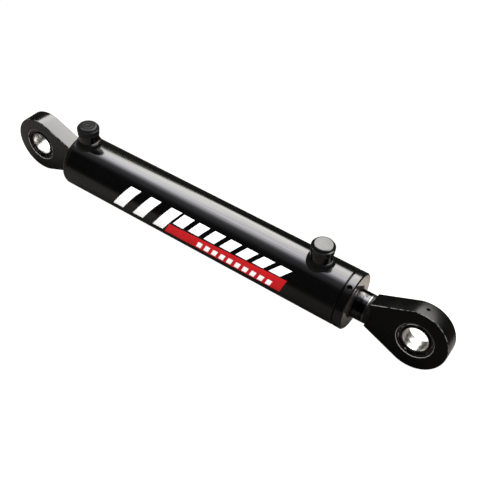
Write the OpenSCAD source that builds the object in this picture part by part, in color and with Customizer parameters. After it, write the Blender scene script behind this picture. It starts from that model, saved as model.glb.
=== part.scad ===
// Welded double-acting hydraulic cylinder with a spherical bearing in each pin eye.
// Frame: origin at the centre of the cap eye's pin bore, +X along the cylinder towards the
// rod end, +Y along the cap eye's pin, +Z up, the side that both ports are on.

/* [Cylinder] */
// Pin centre to pin centre with the rod fully in
closed_length = 598.5; // [588:0.1:640]
// Travel of the piston rod
stroke = 304.8; // [200:0.1:308]
// Inside diameter of the barrel
bore_d = 63.5; // [63.5:0.1:64.5]
// Outside diameter of the barrel and of the gland's collar
tube_od = 76.2; // [75:0.1:80]
// Diameter of the piston rod
rod_d = 38.1; // [36:0.1:38.1]
// Rod that shows between the gland and the rod eye with the rod fully in
rod_exposed = 21.6; // [19:0.1:40]

/* [Pin eyes] */
// Radius of the round end of each eye plate
eye_r = 41; // [38:0.5:45]
// Thickness of each eye plate
eye_t = 26; // [24:0.5:32]
// Pin centre to the welded root of the cap eye's plate
cap_eye_reach = 65.5; // [60:0.5:75]
// Pin centre to the welded root of the rod eye's plate
rod_eye_reach = 63; // [60:0.5:75]
// Height of an eye plate at its root
eye_root_h = 36; // [28:1:38]
// Turn of the rod eye about the cylinder's axis, away from the cap eye's plane
rod_eye_turn = -7.2; // [-90:0.1:90]
// Diameter of the grease hole in the rod eye
grease_hole_d = 4; // [2:0.5:6]

/* [Spherical bearings] */
// Pin bore of each ball
pin_d = 31.75; // [25:0.05:32]
// Diameter of the ball's sphere
ball_d = 42; // [40:0.1:43]
// Width of the ball
ball_w = 22; // [20:0.5:24]
// Outside diameter of the race and bore of the eye plate
race_od = 47; // [46:0.5:50]
// Width of the race
race_w = 18; // [15:0.5:20]
// Thickness of the retaining rings
clip_t = 1.75; // [1:0.05:2]

/* [Ports] */
// Outside diameter of the port bosses
boss_d = 28.6; // [26:0.1:32]
// Height of the boss's end face above the cylinder's axis
boss_top = 61; // [56:0.5:66]
// Minor diameter of the port's thread
port_d = 17.5; // [12:0.1:18]
// Depth of the threaded port
port_depth = 16; // [12:0.5:18]
// Diameter of the oil way through the barrel wall
oil_way_d = 10; // [6:0.5:10]
// Cap port's axis behind the outer face of the end cap
cap_port_offset = 20.9; // [19.7:0.1:21]
// Rod port's axis behind the outer face of the gland
rod_port_offset = 55.3; // [55:0.1:57]

/* [Gland] */
// Length of the gland's collar, outside the barrel
collar_l = 12.5; // [11:0.5:16]
// Diameter of the pin-spanner holes in the collar
spanner_hole_d = 6.4; // [3:0.1:6.8]
// Number of pin-spanner holes
spanner_holes = 4; // [2:1:8]
// First pin-spanner hole, turned from the top of the collar towards -Y
spanner_turn = 23.7; // [0:0.1:45]

/* [Fits] */
// Radial gap where a seal or a guide ring runs
running_gap = 0.04; // [0.02:0.01:0.08]
// Radial gap between metal parts that never touch
metal_gap = 0.4; // [0.3:0.05:0.5]

/* [Hidden] */
$fn = 96;
eps = 0.5;

// Radii
bore_r = bore_d / 2;
tube_r = tube_od / 2;
rod_r = rod_d / 2;
pin_r = pin_d / 2;
race_r = race_od / 2;
sphere_r = ball_d / 2;
boss_r = boss_d / 2;
port_r = port_d / 2;
thread_r = bore_r + 1.25;
spigot_r = 12.7;

// Stations along the cylinder, from the cap eye to the rod eye
cap_x = cap_eye_reach;
tube_x0 = cap_x + 6;
cap_in_x = cap_x + 13.5;
cap_port_x = cap_x + cap_port_offset;
nut_x = cap_x + 15;
piston_x0 = nut_x + 12.5;
piston_x1 = piston_x0 + 32;
rod_end_x = closed_length - rod_eye_reach;
gland_x1 = rod_end_x - rod_exposed;
collar_x = gland_x1 - collar_l;
rod_port_x = gland_x1 - rod_port_offset;
seal_land_x = gland_x1 - 49.5;
thread_x0 = gland_x1 - 37.5;
nose_x = piston_x1 + stroke + 0.5;

// End cap and barrel
cap_rim_r = tube_r - 3.7;
bevel_l = 2.7;

// Gland
nose_r = bore_r - 5.75;
oring_groove_x = seal_land_x + 3.5;
oring_groove_l = 5.5;
oring_d = 3.54;
backup_t = 1.4;
oring_groove_r = bore_r - oring_d - 0.06;
band_x = nose_x + 7;
band_l = 14.8;
band_t = 2.5;
rod_seal_x = thread_x0 + 4;
rod_seal_l = 9.2;
rod_seal_t = 6.3;
wiper_x = gland_x1 - 6.4;
wiper_l = 4.5;
wiper_r = rod_r + 5.5;
wiper_mouth_r = rod_r + 3.1;

// Piston
piston_r = bore_r - metal_gap;
piston_bore_r = spigot_r + 0.05;
guide_l = 8;
guide_t = 2.5;
guide_x = [piston_x0 + 2.6, piston_x0 + 21.4];
seal_x = piston_x0 + 12.85;
seal_l = 6.3;
seal_t = 2.7;
energizer_d = 3.3;
side_gap = 0.15;
piston_oring_x = piston_x0 + 25.7;
piston_oring_d = 2.66;
nut_flats = 38.1;
ring_split = 1.6;

// Eye plates and bearings
eye_root = eye_root_h / 2;
flank_r = eye_r - 0.05;
clip_y = race_w / 2 + clip_t / 2;
clip_groove_r = race_r + 1.25;
clip_inner_r = sphere_r - 0.3;
clip_eyelet_r = clip_inner_r + 0.9;
lube_groove_l = 3;

// Port bosses and their dust caps
thread_end_z = boss_top - port_depth;
seat_r = port_r + 1.55;
seat_l = 2.5;
weld_top_z = tube_r + 6.4;
dust_cap_r = boss_r + 0.6;
dust_cap_z0 = boss_top - 7;
dust_cap_z1 = boss_top + 5.4;

// Points of a shallow crown between p and q, as on a weld bead; it rises to the left of the way
// from p to q, or to the right where height is negative
function crown(p, q, height, steps = 6) =
    let (run = q - p, side = [-run[1], run[0]] / norm(run))
    [for (i = [0:steps]) let (t = i / steps) p + t * run + 4 * t * (1 - t) * height * side];

// Where a flank leaves the round end of a plate with that reach, turned from the cylinder's axis
function flank_angle(reach) = atan(eye_root / reach) + acos(flank_r / norm([reach, eye_root]));

// Turns a profile of [radius, x] points about the cylinder's axis
module turned(profile) {
    rotate([0, 90, 0]) rotate_extrude() polygon(profile);
}

// A plain ring from x0 to x1
module ring(x0, x1, outer, inner) {
    turned([[inner, x0], [outer, x0], [outer, x1], [inner, x1]]);
}

// A ring of round section whose middle lies at x
module o_ring(x, inner, section) {
    rotate([0, 90, 0]) rotate_extrude() translate([inner + section / 2, x]) circle(d = section, $fn = 48);
}

// A guide ring with the gap that lets it spring into its groove
module split_ring(x0, x1, outer, inner) {
    difference() {
        ring(x0, x1, outer, inner);
        translate([x0 - eps, -ring_split / 2, -outer - eps]) cube([x1 - x0 + 2 * eps, ring_split, outer]);
    }
}

// ---- Pin eyes, drawn about their own pin centre with the root towards +X ----

// Outline of the plate between its round end and its root
module eye_flanks(reach) {
    start = flank_r * [cos(flank_angle(reach)), sin(flank_angle(reach))];
    polygon([[start[0], -start[1]], [reach, -eye_root], [reach, eye_root], start]);
}

module eye_plate(reach, grease) {
    difference() {
        rotate([90, 0, 0]) linear_extrude(height = eye_t, center = true) union() {
            circle(r = eye_r);
            eye_flanks(reach);
        }
        rotate([90, 0, 0]) cylinder(h = eye_t + 2 * eps, r = race_r, center = true);
        for (side = [-1, 1]) {
            translate([0, side * clip_y, 0]) rotate([90, 0, 0])
                cylinder(h = clip_t + 0.1, r = clip_groove_r, center = true);
            translate([0, side * eye_t / 2, 0]) rotate([side * 90, 0, 0])
                cylinder(h = 1.2, r1 = race_r + 1.2, r2 = race_r);
        }
        if (grease) cylinder(h = eye_r + eps, d = grease_hole_d);
    }
}

module eye_race() {
    rotate([90, 0, 0]) difference() {
        rotate_extrude() difference() {
            polygon([
                [sphere_r - 4, -race_w / 2], [race_r - 0.6, -race_w / 2], [race_r, -race_w / 2 + 0.6],
                [race_r, -lube_groove_l / 2], [race_r - 0.7, -lube_groove_l / 2],
                [race_r - 0.7, lube_groove_l / 2], [race_r, lube_groove_l / 2],
                [race_r, race_w / 2 - 0.6], [race_r - 0.6, race_w / 2], [sphere_r - 4, race_w / 2]
            ]);
            circle(r = sphere_r + running_gap);
        }
        rotate([-90, 0, 0]) cylinder(h = race_r + eps, d = lube_groove_l - 0.5);
    }
}

module eye_ball() {
    rotate([90, 0, 0]) difference() {
        intersection() {
            sphere(r = sphere_r);
            cylinder(h = ball_w, r = sphere_r + eps, center = true);
        }
        cylinder(h = ball_w + 2 * eps, r = pin_r, center = true);
        for (side = [0, 180]) rotate([side, 0, 0]) translate([0, 0, ball_w / 2 - 0.6])
            cylinder(h = 0.7, r1 = pin_r, r2 = pin_r + 0.7);
        cylinder(h = 2, r = pin_r + 0.5, center = true);
        rotate([90, 0, 0]) cylinder(h = 2 * sphere_r + 2 * eps, d = lube_groove_l - 0.5, center = true);
    }
}

// Both retaining rings of one eye, each with two eyelets beside its gap
module eye_circlips() {
    for (side = [-1, 1]) translate([0, side * clip_y, 0]) rotate([90, 0, 0])
        linear_extrude(height = clip_t, center = true) difference() {
            union() {
                difference() {
                    circle(r = clip_groove_r - 0.05);
                    circle(r = clip_inner_r);
                    polygon([[0, 0], [-5.5, -30], [5.5, -30]]);
                }
                for (ear = [-15, 15]) rotate(ear) translate([0, -clip_eyelet_r]) circle(r = 2.1);
            }
            for (ear = [-15, 15]) rotate(ear) translate([0, -clip_eyelet_r]) circle(r = 1, $fn = 24);
        }
}

// Places a child of the rod eye, turned about the cylinder's axis, with its root towards -X
module at_rod_eye() {
    translate([closed_length, 0, 0]) rotate([rod_eye_turn, 0, 0]) mirror([1, 0, 0]) children();
}

module cap_eye() {
    color("#1b1b1d") eye_plate(cap_eye_reach, false);
}

module cap_eye_race() {
    color("#8d9095") eye_race();
}

module cap_eye_ball() {
    color("#d9dbde") eye_ball();
}

module cap_eye_circlips() {
    color("#3a3b3e") eye_circlips();
}

// Fillet weld all round the eye plate's root, on the end cap's face
module cap_eye_weld() {
    leg_x = 7.5;
    side_leg = 8;
    top_leg = 10;
    rise = leg_x * tan(90 - flank_angle(cap_eye_reach));
    color("#1b1b1d") difference() {
        intersection() {
            translate([0, 0, -tube_r]) linear_extrude(height = 2 * tube_r) polygon([
                [cap_x, -eye_t / 2 - side_leg], [cap_x, eye_t / 2 + side_leg],
                [cap_x - leg_x, eye_t / 2], [cap_x - leg_x, -eye_t / 2]
            ]);
            rotate([90, 0, 0]) linear_extrude(height = 2 * tube_r, center = true) polygon([
                [cap_x, -eye_root - top_leg], [cap_x, eye_root + top_leg],
                [cap_x - leg_x, eye_root + rise], [cap_x - leg_x, -eye_root - rise]
            ]);
            ring(cap_x - leg_x - eps, cap_x, cap_rim_r - 4, 1);
        }
        rotate([90, 0, 0]) linear_extrude(height = eye_t, center = true) eye_flanks(cap_eye_reach);
    }
}

module rod_eye() {
    color("#1b1b1d") at_rod_eye() eye_plate(rod_eye_reach, true);
}

module rod_eye_race() {
    color("#8d9095") at_rod_eye() eye_race();
}

module rod_eye_ball() {
    color("#d9dbde") at_rod_eye() eye_ball();
}

module rod_eye_circlips() {
    color("#3a3b3e") at_rod_eye() eye_circlips();
}

// Bead that fills the rod's weld bevel and laps on to the eye plate
module rod_eye_weld() {
    toe = [rod_r, rod_end_x - 3];
    lap = [rod_r - 4.2, rod_end_x + 5];
    root_h = eye_root_h + 4.6;
    color("#1b1b1d") difference() {
        turned(concat(
            [[rod_r - 9, rod_end_x + 5], [rod_r - 9, rod_end_x], [rod_r - 3, rod_end_x]],
            crown(toe, lap, -1.1)
        ));
        rotate([rod_eye_turn, 0, 0]) translate([rod_end_x, -eye_t / 2, -root_h / 2])
            cube([20, eye_t, root_h]);
    }
}

// ---- Barrel ----

module barrel_tube() {
    color("#202022") difference() {
        turned([
            [bore_r, tube_x0], [cap_rim_r, tube_x0], [tube_r, tube_x0 + bevel_l],
            [tube_r, collar_x - 1.4], [tube_r - 1.4, collar_x],
            [thread_r, collar_x], [thread_r, thread_x0], [bore_r, thread_x0 - 1.5]
        ]);
        for (x = [cap_port_x, rod_port_x]) translate([x, 0, 0]) cylinder(h = tube_r + eps, d = oil_way_d);
    }
}

module end_cap() {
    color("#202022") turned([
        [0, cap_x], [cap_rim_r, cap_x], [cap_rim_r, tube_x0], [bore_r - 0.02, tube_x0],
        [bore_r - 0.02, cap_in_x - 1], [bore_r - 1, cap_in_x], [0, cap_in_x]
    ]);
}

// Groove weld between the end cap's rim and the bevelled end of the tube, dressed flush with it
module end_cap_weld() {
    color("#1b1b1d") turned(concat(
        [[cap_rim_r, tube_x0], [tube_r, tube_x0 + bevel_l]],
        crown([tube_r, cap_x + 4.5], [cap_rim_r, cap_x + 0.3], 0.9)
    ));
}

module port_boss(x) {
    color("#202022") translate([x, 0, 0]) difference() {
        rotate_extrude() polygon([
            [oil_way_d / 2, tube_r - 6], [boss_r, tube_r - 6], [boss_r, boss_top - 0.7],
            [boss_r - 0.7, boss_top], [seat_r, boss_top], [port_r, boss_top - seat_l],
            [port_r, thread_end_z], [oil_way_d / 2, thread_end_z - 2]
        ]);
        rotate([0, 90, 0]) cylinder(h = 3 * boss_d, r = tube_r, center = true, $fn = 128);
    }
}

// Fillet weld round a boss, laid on the curve of the barrel
module port_weld(x) {
    color("#1b1b1d") translate([x, 0, 0]) difference() {
        rotate_extrude() polygon([
            [boss_r, tube_r - 12], [boss_r + 6, tube_r - 12], [boss_r + 5.7, tube_r - 2],
            [boss_r + 4.8, tube_r + 0.5], [boss_r, weld_top_z]
        ]);
        rotate([0, 90, 0]) cylinder(h = 3 * boss_d, r = tube_r, center = true, $fn = 128);
    }
}

// Push-on cap with a domed shoulder, which keeps dirt out of a port until its hose is fitted
module dust_cap(x) {
    inner_r = boss_r + 0.06;
    color("#141415") translate([x, 0, 0]) rotate_extrude() polygon([
        [0, dust_cap_z1 - 1.8], [seat_r, dust_cap_z1 - 1.8], [seat_r + 2.2, boss_top + 0.2],
        [inner_r, boss_top + 0.2], [inner_r, dust_cap_z0],
        [dust_cap_r, dust_cap_z0], [dust_cap_r, dust_cap_z1 - 3.4], [dust_cap_r - 1.1, dust_cap_z1 - 2],
        [dust_cap_r - 2.3, dust_cap_z1 - 0.7], [dust_cap_r - 3.9, dust_cap_z1], [0, dust_cap_z1]
    ]);
}

// ---- Gland and what it holds ----

module gland() {
    bore = rod_r + metal_gap;
    band_r = rod_r + band_t + 0.03;
    seal_r = rod_r + rod_seal_t + 0.05;
    color("#202022") difference() {
        turned([
            [bore, nose_x], [nose_r, nose_x], [nose_r, seal_land_x - 1], [bore_r - 1, seal_land_x],
            [bore_r - 0.03, seal_land_x + 1],
            [bore_r - 0.03, oring_groove_x], [oring_groove_r, oring_groove_x],
            [oring_groove_r, oring_groove_x + oring_groove_l],
            [bore_r - 0.03, oring_groove_x + oring_groove_l],
            [bore_r - 0.03, thread_x0 - 1.5], [thread_r - 0.05, thread_x0],
            [thread_r - 0.05, collar_x], [tube_r - 1.4, collar_x], [tube_r, collar_x + 1.4],
            [tube_r, gland_x1 - 1.6], [tube_r - 1.6, gland_x1],
            [wiper_mouth_r, gland_x1], [wiper_mouth_r, wiper_x + wiper_l],
            [wiper_r, wiper_x + wiper_l], [wiper_r, wiper_x], [bore, wiper_x],
            [bore, rod_seal_x + rod_seal_l + 0.2], [seal_r, rod_seal_x + rod_seal_l + 0.2],
            [seal_r, rod_seal_x - 0.2], [bore, rod_seal_x - 0.2],
            [bore, band_x + band_l + 0.1], [band_r, band_x + band_l + 0.1],
            [band_r, band_x - 0.1], [bore, band_x - 0.1]
        ]);
        for (i = [0:spanner_holes - 1]) translate([collar_x + 6, 0, 0])
            rotate([spanner_turn + i * 360 / spanner_holes, 0, 0]) translate([0, 0, tube_r - 6])
                cylinder(h = 6 + eps, d = spanner_hole_d);
    }
}

module gland_oring() {
    color("#0e0e0e") o_ring(oring_groove_x + 2, oring_groove_r + 0.02, oring_d);
}

module gland_backup_ring() {
    x0 = oring_groove_x + oring_groove_l - backup_t - 0.05;
    color("#e8e4d8") ring(x0, x0 + backup_t, bore_r - 0.05, oring_groove_r + 0.02);
}

module rod_wear_band() {
    color("#7a4a24") split_ring(band_x, band_x + band_l, rod_r + band_t, rod_r + running_gap);
}

// Lip seal whose open side faces the oil
module rod_seal() {
    inner = rod_r + running_gap;
    outer = rod_r + rod_seal_t;
    color("#2a5c8a") turned([
        [inner, rod_seal_x + rod_seal_l], [outer, rod_seal_x + rod_seal_l],
        [outer, rod_seal_x + 0.4], [outer - 1.6, rod_seal_x],
        [(inner + outer) / 2, rod_seal_x + 4], [inner + 1.6, rod_seal_x], [inner, rod_seal_x + 0.4]
    ]);
}

// Wiper with a lip that stands just proud of the gland's face
module wiper() {
    lip_x = gland_x1 + 2;
    inner = rod_r + running_gap;
    color("#101012") turned([
        [inner + 0.5, wiper_x + 0.1], [wiper_r - 0.05, wiper_x + 0.1],
        [wiper_r - 0.05, wiper_x + wiper_l - 0.1], [wiper_mouth_r - 0.05, wiper_x + wiper_l - 0.1],
        [wiper_mouth_r - 0.05, gland_x1 - 0.4], [inner + 1.3, lip_x], [inner, lip_x],
        [inner, gland_x1], [inner + 0.5, gland_x1 - 1]
    ]);
}

// ---- Rod and piston ----

module piston_rod() {
    color("#4a4c50") turned([
        [0, nut_x + 0.5], [spigot_r - 1, nut_x + 0.5], [spigot_r - 0.02, nut_x + 1.5],
        [spigot_r - 0.02, piston_x1], [rod_r - 1.5, piston_x1], [rod_r, piston_x1 + 1.5],
        [rod_r, rod_end_x - 3], [rod_r - 3, rod_end_x], [0, rod_end_x]
    ]);
}

module piston() {
    guide_r = bore_r - guide_t - 0.1;
    seal_r = bore_r - seal_t - energizer_d - 0.14;
    ring_r = piston_bore_r + piston_oring_d - 0.03;
    color("#9a9ca0") turned([
        [piston_bore_r, piston_x0], [piston_r - 1, piston_x0], [piston_r, piston_x0 + 1],
        [piston_r, guide_x[0] - side_gap], [guide_r, guide_x[0] - side_gap],
        [guide_r, guide_x[0] + guide_l + side_gap], [piston_r, guide_x[0] + guide_l + side_gap],
        [piston_r, seal_x - side_gap], [seal_r, seal_x - side_gap],
        [seal_r, seal_x + seal_l + side_gap], [piston_r, seal_x + seal_l + side_gap],
        [piston_r, guide_x[1] - side_gap], [guide_r, guide_x[1] - side_gap],
        [guide_r, guide_x[1] + guide_l + side_gap], [piston_r, guide_x[1] + guide_l + side_gap],
        [piston_r, piston_x1 - 1], [piston_r - 1, piston_x1], [piston_bore_r, piston_x1],
        [piston_bore_r, piston_oring_x + 1.7], [ring_r, piston_oring_x + 1.7],
        [ring_r, piston_oring_x - 1.7], [piston_bore_r, piston_oring_x - 1.7]
    ]);
}

// Hexagon nut with turned corners
module piston_nut() {
    corner_r = nut_flats / 2 / cos(30);
    color("#b9a25a") difference() {
        intersection() {
            translate([nut_x, 0, 0]) rotate([0, 90, 0]) cylinder(h = piston_x0 - nut_x, r = corner_r, $fn = 6);
            turned([
                [0, nut_x], [nut_flats / 2, nut_x], [corner_r + 0.2, nut_x + 2],
                [corner_r + 0.2, piston_x0], [0, piston_x0]
            ]);
        }
        ring(nut_x - eps, piston_x0 + eps, spigot_r, 0);
    }
}

module piston_oring() {
    color("#0e0e0e") o_ring(piston_oring_x, spigot_r + 0.02, piston_oring_d);
}

module piston_seal() {
    outer = bore_r - running_gap;
    color("#c9c7bd") turned([
        [bore_r - seal_t, seal_x], [outer - 0.5, seal_x], [outer, seal_x + 0.5],
        [outer, seal_x + seal_l - 0.5], [outer - 0.5, seal_x + seal_l], [bore_r - seal_t, seal_x + seal_l]
    ]);
}

module piston_seal_energizer() {
    color("#0e0e0e") o_ring(seal_x + seal_l / 2, bore_r - seal_t - energizer_d - 0.08, energizer_d);
}

module piston_guide_ring(x) {
    color("#7a4a24") split_ring(x, x + guide_l, bore_r - running_gap, bore_r - guide_t);
}

barrel_tube();
end_cap();
end_cap_weld();
cap_eye();
cap_eye_weld();
cap_eye_race();
cap_eye_circlips();
cap_eye_ball();
port_boss(cap_port_x);  // port_boss_cap_end
port_boss(rod_port_x);  // port_boss_rod_end
port_weld(cap_port_x);  // port_weld_cap_end
port_weld(rod_port_x);  // port_weld_rod_end
dust_cap(cap_port_x);  // dust_cap_cap_end
dust_cap(rod_port_x);  // dust_cap_rod_end
gland();
gland_oring();
gland_backup_ring();
rod_wear_band();
rod_seal();
wiper();
piston_rod();
piston();
piston_nut();
piston_oring();
piston_seal();
piston_seal_energizer();
piston_guide_ring(guide_x[0]);  // piston_guide_ring_rear
piston_guide_ring(guide_x[1]);  // piston_guide_ring_front
rod_eye();
rod_eye_weld();
rod_eye_race();
rod_eye_circlips();
rod_eye_ball();
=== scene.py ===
"""Looks of a welded hydraulic cylinder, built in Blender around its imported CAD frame.

Row frame, in metres: origin at the centre of the cap eye's pin bore, +X along the cylinder towards
the rod eye, +Y along the cap eye's pin, +Z up, the side that both ports are on.
"""
import math

import bmesh
import bpy
from mathutils import Matrix, Quaternion, Vector


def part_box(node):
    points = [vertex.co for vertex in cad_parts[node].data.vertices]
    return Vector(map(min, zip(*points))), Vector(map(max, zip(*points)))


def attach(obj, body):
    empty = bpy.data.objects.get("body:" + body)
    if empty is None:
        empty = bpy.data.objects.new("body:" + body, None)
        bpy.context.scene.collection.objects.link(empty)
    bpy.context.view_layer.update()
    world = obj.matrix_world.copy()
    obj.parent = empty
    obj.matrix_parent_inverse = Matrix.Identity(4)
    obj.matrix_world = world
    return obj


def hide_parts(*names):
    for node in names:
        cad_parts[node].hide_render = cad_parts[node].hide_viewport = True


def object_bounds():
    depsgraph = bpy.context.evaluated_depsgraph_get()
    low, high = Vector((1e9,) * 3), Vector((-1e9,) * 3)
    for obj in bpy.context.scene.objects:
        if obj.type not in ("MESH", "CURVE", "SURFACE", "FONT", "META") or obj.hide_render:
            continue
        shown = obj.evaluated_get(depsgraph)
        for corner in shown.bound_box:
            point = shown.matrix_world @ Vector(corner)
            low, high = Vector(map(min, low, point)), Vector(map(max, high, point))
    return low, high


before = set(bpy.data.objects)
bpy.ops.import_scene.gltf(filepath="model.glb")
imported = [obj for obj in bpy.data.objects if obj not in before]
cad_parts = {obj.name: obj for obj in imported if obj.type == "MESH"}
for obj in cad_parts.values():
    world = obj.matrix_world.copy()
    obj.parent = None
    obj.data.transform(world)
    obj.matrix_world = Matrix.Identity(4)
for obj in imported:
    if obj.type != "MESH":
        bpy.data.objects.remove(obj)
cad_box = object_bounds()

MM = 0.001
AXIS_X = Matrix(((0, 0, 1), (1, 0, 0), (0, 1, 0)))  # a lathe's (radius, radius, height) to (y, z, x)
AXIS_Y = Matrix(((1, 0, 0), (0, 0, 1), (0, -1, 0)))
AXIS_Z = Matrix.Identity(3)
CENTRE = 0.01 * MM  # radius of the tiny face that closes a lathed body on its axis


# ---------------------------------------------------------------- sizes, from the frame

def low(node):
    """Lowest x, y and z of a CAD node."""
    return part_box(node)[0]


def high(node):
    """Highest x, y and z of a CAD node."""
    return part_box(node)[1]


TUBE_R = high("barrel_tube").z
TUBE_X0, TUBE_X1 = low("barrel_tube").x, high("barrel_tube").x
TUBE_SEGMENTS = 224
TUBE_BEVEL_X = TUBE_X0 + 2.7 * MM
JOINT_BEVEL = 1.4 * MM  # on the tube and on the gland's collar, where they meet
THREAD_R = TUBE_R - 5.1 * MM  # of the tube's thread for the gland
THREAD_X, BORE_X = TUBE_X1 - 25 * MM, TUBE_X1 - 26.5 * MM  # the thread's inner end, and the bore's mouth
CAP_X = low("end_cap").x
CAP_RIM_R = high("end_cap").z
BORE_R = CAP_RIM_R - 2.65 * MM
GLAND_X1 = high("gland").x
ROD_R = high("piston_rod").z
ROD_TIP, ROD_END = low("piston_rod").x, high("piston_rod").x
ROD_BEVEL = 3 * MM
EYE_R = -low("cap_eye").x
EYE_T = high("cap_eye").y - low("cap_eye").y
PIN_TO_PIN = high("rod_eye").x - EYE_R
CAP_EYE_REACH, ROD_EYE_REACH = CAP_X, PIN_TO_PIN - ROD_END
ROD_EYE_TURN = math.radians(-7.2)
EYE_ROOT = 18 * MM  # half an eye plate's height where it is welded on
RACE_R = high("cap_eye_race").x
RACE_W = high("cap_eye_race").y - low("cap_eye_race").y
BALL_W = high("cap_eye_ball").y - low("cap_eye_ball").y
SPHERE_R = 21 * MM
PIN_R = 15.875 * MM
CLIP_T = 1.75 * MM
CLIP_Y = (RACE_W + CLIP_T) / 2  # a retaining ring's middle, from the eye plate's
CLIP_R = high("cap_eye_circlips").x
BOSS_R = high("port_boss_cap_end").y
BOSS_TOP = high("port_boss_cap_end").z
PORT_R = 8.75 * MM
SEAT_R = PORT_R + 1.55 * MM
PORTS = {
    "cap_end": (low("port_boss_cap_end").x + BOSS_R, "dust_cap_a"),
    "rod_end": (low("port_boss_rod_end").x + BOSS_R, "dust_cap_b"),
}
OIL_WAY_R = 5 * MM
CAP_R = high("dust_cap_cap_end").y
CAP_Z0, CAP_Z1 = low("dust_cap_cap_end").z, high("dust_cap_cap_end").z
SPANNER_X = TUBE_X1 + 6 * MM
SPANNER_R = 3.2 * MM
SPANNER_TURN = math.radians(23.7)  # of the first hole, from the top
SPANNER_HOLES = 4
GREASE_R = 2 * MM


# ---------------------------------------------------------------- materials

def new_material(name, **sockets):
    """A Principled material; a socket that is the same all over is set here on the shader itself."""
    mat = bpy.data.materials.new(name)
    mat.use_nodes = True
    shader = mat.node_tree.nodes["Principled BSDF"]
    for socket, value in sockets.items():
        shader.inputs[socket.replace("_", " ")].default_value = value
    return mat, mat.node_tree, shader


def grey(level, warmth=0.0):
    return (level * (1 + warmth), level, level * (1 - warmth), 1)


def placed(tree, stretch=(1, 1, 1)):
    """Object coordinates, in metres, stretched along each axis."""
    coords = tree.nodes.new("ShaderNodeTexCoord")
    mapping = tree.nodes.new("ShaderNodeMapping")
    mapping.inputs["Scale"].default_value = stretch
    tree.links.new(coords.outputs["Object"], mapping.inputs["Vector"])
    return mapping.outputs["Vector"]


def split(tree, vector):
    node = tree.nodes.new("ShaderNodeSeparateXYZ")
    tree.links.new(vector, node.inputs["Vector"])
    return [node.outputs[axis] for axis in "XYZ"]


def noise(tree, vector, per_metre, detail=3.0, rough=0.55):
    tex = tree.nodes.new("ShaderNodeTexNoise")
    tex.inputs["Scale"].default_value = per_metre
    tex.inputs["Detail"].default_value = detail
    tex.inputs["Roughness"].default_value = rough
    tree.links.new(vector, tex.inputs["Vector"])
    return tex.outputs["Fac"]


def remap(tree, value, from_low, from_high, to_low, to_high):
    node = tree.nodes.new("ShaderNodeMapRange")
    node.interpolation_type = "SMOOTHSTEP"
    for socket, number in zip(("From Min", "From Max", "To Min", "To Max"),
                              (from_low, from_high, to_low, to_high)):
        node.inputs[socket].default_value = number
    tree.links.new(value, node.inputs["Value"])
    return node.outputs["Result"]


def mixed(tree, factor, first, second):
    """Colour that goes from first to second as factor goes from 0 to 1."""
    node = tree.nodes.new("ShaderNodeMix")
    node.data_type = "RGBA"
    tree.links.new(factor, node.inputs["Factor"])
    for socket, colour in (("A", first), ("B", second)):
        target = [s for s in node.inputs if s.name == socket and s.type == "RGBA"][0]
        if isinstance(colour, tuple):
            target.default_value = colour
        else:
            tree.links.new(colour, target)
    return [s for s in node.outputs if s.type == "RGBA"][0]


def maths(tree, operation, *values):
    """Runs an operation along its values from left to right; each is a socket or a number."""
    total = values[0]
    for value in values[1:]:
        node = tree.nodes.new("ShaderNodeMath")
        node.operation = operation
        for socket, term in zip(node.inputs, (total, value)):
            if isinstance(term, (int, float)):
                socket.default_value = term
            else:
                tree.links.new(term, socket)
        total = node.outputs["Value"]
    return total


def bumped(tree, shader, height, depth):
    """Feeds height, 0 to 1, to the shader as a bump of that depth in metres."""
    node = tree.nodes.new("ShaderNodeBump")
    node.inputs["Strength"].default_value = 1.0
    node.inputs["Distance"].default_value = depth
    tree.links.new(height, node.inputs["Height"])
    tree.links.new(node.outputs["Normal"], shader.inputs["Normal"])


def paint(name, along=1.0, peel=0.016 * MM, rough=(0.1, 0.17), sheen=0.5, drawn=0.0):
    """Gloss black: orange peel, smudges, dust flecks, and draw lines that dull it by the share drawn."""
    tone, fleck = 0.0008, 0.4
    mat, tree, shader = new_material(name, IOR=1.5, Specular_IOR_Level=sheen)
    skin = placed(tree, (along, 1, 1))
    peel_height = noise(tree, skin, 420, 2.0)
    smudge = noise(tree, skin, 26, 4.0, 0.6)
    dust = noise(tree, placed(tree), 1500, 1.0)
    specks = remap(tree, dust, 0.70, 0.78, 0.0, fleck)
    base = mixed(tree, smudge, grey(tone * 0.75), grey(tone * 1.35, 0.04))
    base = mixed(tree, specks, base, grey(0.03, 0.04))
    tree.links.new(base, shader.inputs["Base Color"])
    gloss = remap(tree, smudge, 0.3, 0.72, rough[0], rough[1])
    gloss = maths(tree, "ADD", gloss, maths(tree, "MULTIPLY", specks, 0.25))
    tree.links.new(gloss, shader.inputs["Roughness"])
    bumped(tree, shader, peel_height, peel)
    if drawn:
        streaks = noise(tree, placed(tree, (0.012, 1, 1)), 620, 3.0, 0.6)
        dulled = remap(tree, streaks, 0.36, 0.64, sheen * (1 - drawn), sheen)
        tree.links.new(dulled, shader.inputs["Specular IOR Level"])
    return mat


def weld_paint(name, sheen):
    """The same paint over a weld: coarser skin, with grit and spatter under it."""
    mat, tree, shader = new_material(name, IOR=1.5, Specular_IOR_Level=sheen)
    skin = placed(tree)
    grit = noise(tree, skin, 900, 4.0, 0.7)
    lumps = noise(tree, skin, 260, 2.0)
    tree.links.new(mixed(tree, grit, grey(0.001), grey(0.005, 0.05)), shader.inputs["Base Color"])
    tree.links.new(remap(tree, lumps, 0.3, 0.7, 0.13, 0.26), shader.inputs["Roughness"])
    bumped(tree, shader, maths(tree, "ADD", grit, lumps), 0.2 * MM)
    return mat


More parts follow.
